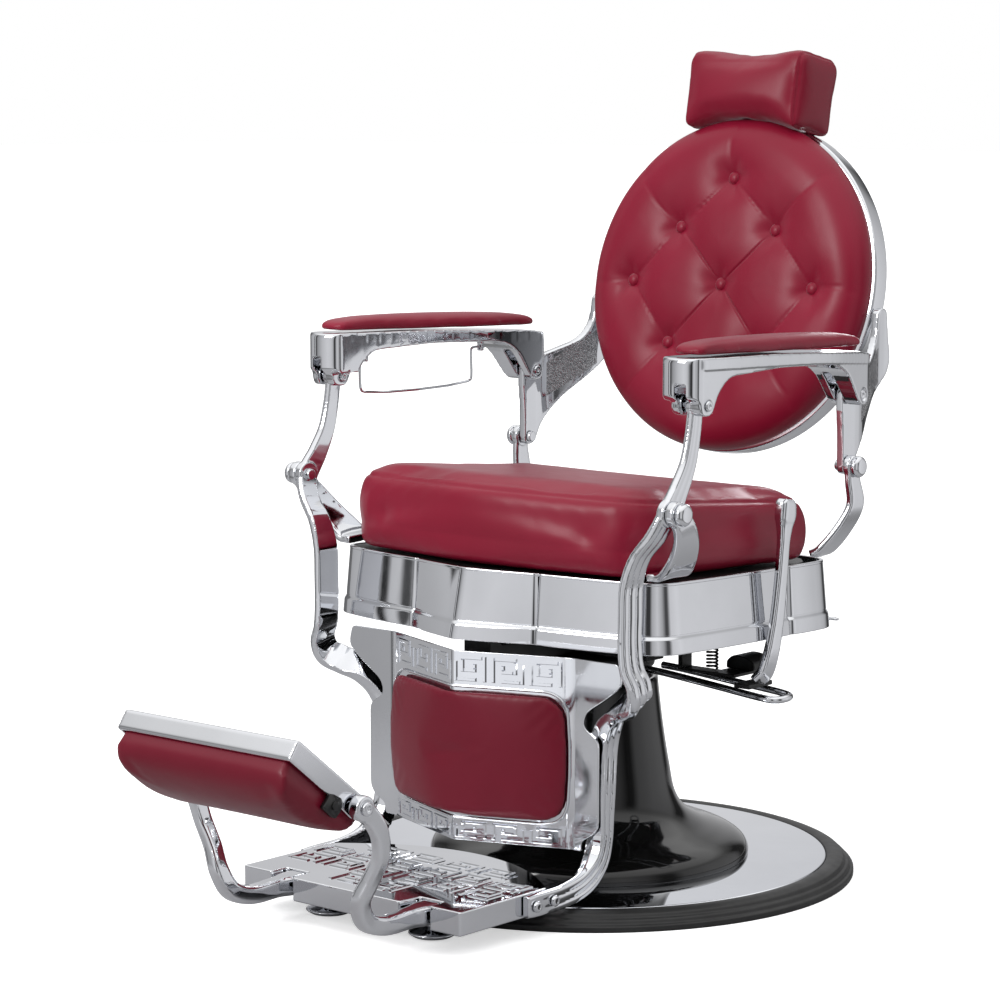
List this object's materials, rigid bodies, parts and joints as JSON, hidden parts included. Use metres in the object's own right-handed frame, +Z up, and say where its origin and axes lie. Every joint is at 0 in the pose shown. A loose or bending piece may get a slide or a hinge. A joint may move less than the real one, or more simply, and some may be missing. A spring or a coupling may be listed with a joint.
{
  "type": "barber chair",
  "caption": "Hydraulic barber chair with a round tufted leather back, cast chrome side arms, calf panel, flip-up foot rest and a round pedestal base.",
  "frame": {"origin": "centre of the round base plate on the floor", "axes": "+Z up, the sitter faces -Y, +X is the sitter's left where the pump handle is"},
  "size_m": [0.75, 1.2303, 1.1552],
  "materials": {
    "chrome": "polished chrome plate on castings and sheet",
    "mirror_plate": "mirror-polished flat plate",
    "leather": "burgundy upholstery leather with a fine grain",
    "gloss_black": "gloss black paint",
    "black_steel": "satin black steel",
    "rubber": "moulded rubber edge"
  },
  "bodies": {
    "base": {"base_plate": "mirror_plate", "base_rim": "rubber", "bell_cover": "gloss_black", "pump_cylinder": "black_steel"},
    "lift": {"piston": "chrome"},
    "seat_frame": {"turntable": "black_steel", "subframe": "black_steel", "seat_skirt": "chrome", "seat_deck": "black_steel", "seat_cushion": "leather", "return_spring": "black_steel", "spring_bracket": "black_steel", "handle_guard": "black_steel", "rear_ring": "chrome", "front_bracket_left": "chrome", "front_bracket_right": "chrome", "rear_bracket_left": "chrome", "rear_bracket_right": "chrome", "front_knob_left": "chrome", "front_knob_right": "chrome", "rear_knob_left": "chrome", "rear_knob_right": "chrome"},
    "backrest": {"back_cushion": "leather", "back_shell": "chrome", "headrest_guide": "chrome", "back_bracket_left": "chrome", "back_bracket_right": "chrome"},
    "headrest_slide": {"headrest_post": "chrome"},
    "headrest": {"headrest_yoke": "chrome", "headrest_pad": "leather"},
    "arm_left": {"arm_frame_left": "chrome", "arm_pad_left": "leather", "front_arm_pin_left": "chrome", "rear_arm_pin_left": "chrome"},
    "arm_right": {"arm_frame_right": "chrome", "arm_pad_right": "leather", "front_arm_pin_right": "chrome", "rear_arm_pin_right": "chrome"},
    "towel_bar": {"towel_bar": "chrome"},
    "leg_rest": {"calf_panel": "chrome", "calf_pad": "leather", "footplate": "chrome", "lever_left": "chrome", "lever_right": "chrome", "glide_left": "chrome", "glide_right": "chrome", "s_bracket_left": "chrome", "s_bracket_right": "chrome", "foot_bolt_front_left": "chrome", "foot_bolt_front_right": "chrome", "foot_bolt_rear_left": "chrome", "foot_bolt_rear_right": "chrome", "flip_bolt_left": "chrome", "flip_bolt_right": "chrome"},
    "flip_rest": {"flip_tray": "chrome", "flip_pad": "leather"},
    "pump_handle": {"handle_loop": "chrome", "hand_lever": "chrome", "handle_foot": "black_steel"}
  },
  "joints": [
    {"name": "lift", "type": "slide", "parent": "base", "child": "lift", "axis": [0, 0, 1], "range_m": [0, 0.15]},
    {"name": "swivel", "type": "hinge", "parent": "lift", "child": "seat_frame", "pos_m": [0, 0, 0.3], "axis": [0, 0, 1], "continuous": true},
    {"name": "recline", "type": "hinge", "parent": "seat_frame", "child": "backrest", "pos_m": [0, 0.203, 0.578], "axis": [-1, 0, 0], "range_deg": [0, 40]},
    {"name": "leg_rest_swing", "type": "hinge", "parent": "seat_frame", "child": "leg_rest", "pos_m": [0, -0.239, 0.558], "axis": [-1, 0, 0], "range_deg": [0, 32]},
    {"name": "arm_left_turn", "type": "hinge", "parent": "backrest", "child": "arm_left", "pos_m": [0, 0.204, 0.679], "axis": [-1, 0, 0], "range_deg": [-44, 0]},
    {"name": "arm_right_turn", "type": "hinge", "parent": "backrest", "child": "arm_right", "pos_m": [0, 0.204, 0.679], "axis": [-1, 0, 0], "range_deg": [-44, 0]},
    {"name": "flip_rest_turn", "type": "hinge", "parent": "leg_rest", "child": "flip_rest", "pos_m": [0, -0.646, 0.218], "axis": [-1, 0, 0], "range_deg": [0, 130]},
    {"name": "headrest_height", "type": "slide", "parent": "backrest", "child": "headrest_slide", "axis": [0, 0.1959, 0.9806], "range_m": [0, 0.08]},
    {"name": "headrest_tilt", "type": "hinge", "parent": "headrest_slide", "child": "headrest", "pos_m": [0, 0.45403, 1.06176], "axis": [-1, 0, 0], "range_deg": [0, 15]},
    {"name": "towel_bar_swing", "type": "hinge", "parent": "arm_right", "child": "towel_bar", "pos_m": [-0.301, 0, 0.718], "axis": [0, 1, 0], "range_deg": [0, 60]},
    {"name": "pump_handle_swing", "type": "hinge", "parent": "seat_frame", "child": "pump_handle", "pos_m": [0.2, 0.025, 0.287], "axis": [1, 0, 0], "range_deg": [-12, 16]}
  ],
  "couplings": [
    {"joint": "leg_rest_swing", "follows": "recline", "ratio": 0.79},
    {"joint": "arm_left_turn", "follows": "recline", "ratio": -1.09},
    {"joint": "arm_right_turn", "follows": "recline", "ratio": -1.09}
  ]
}
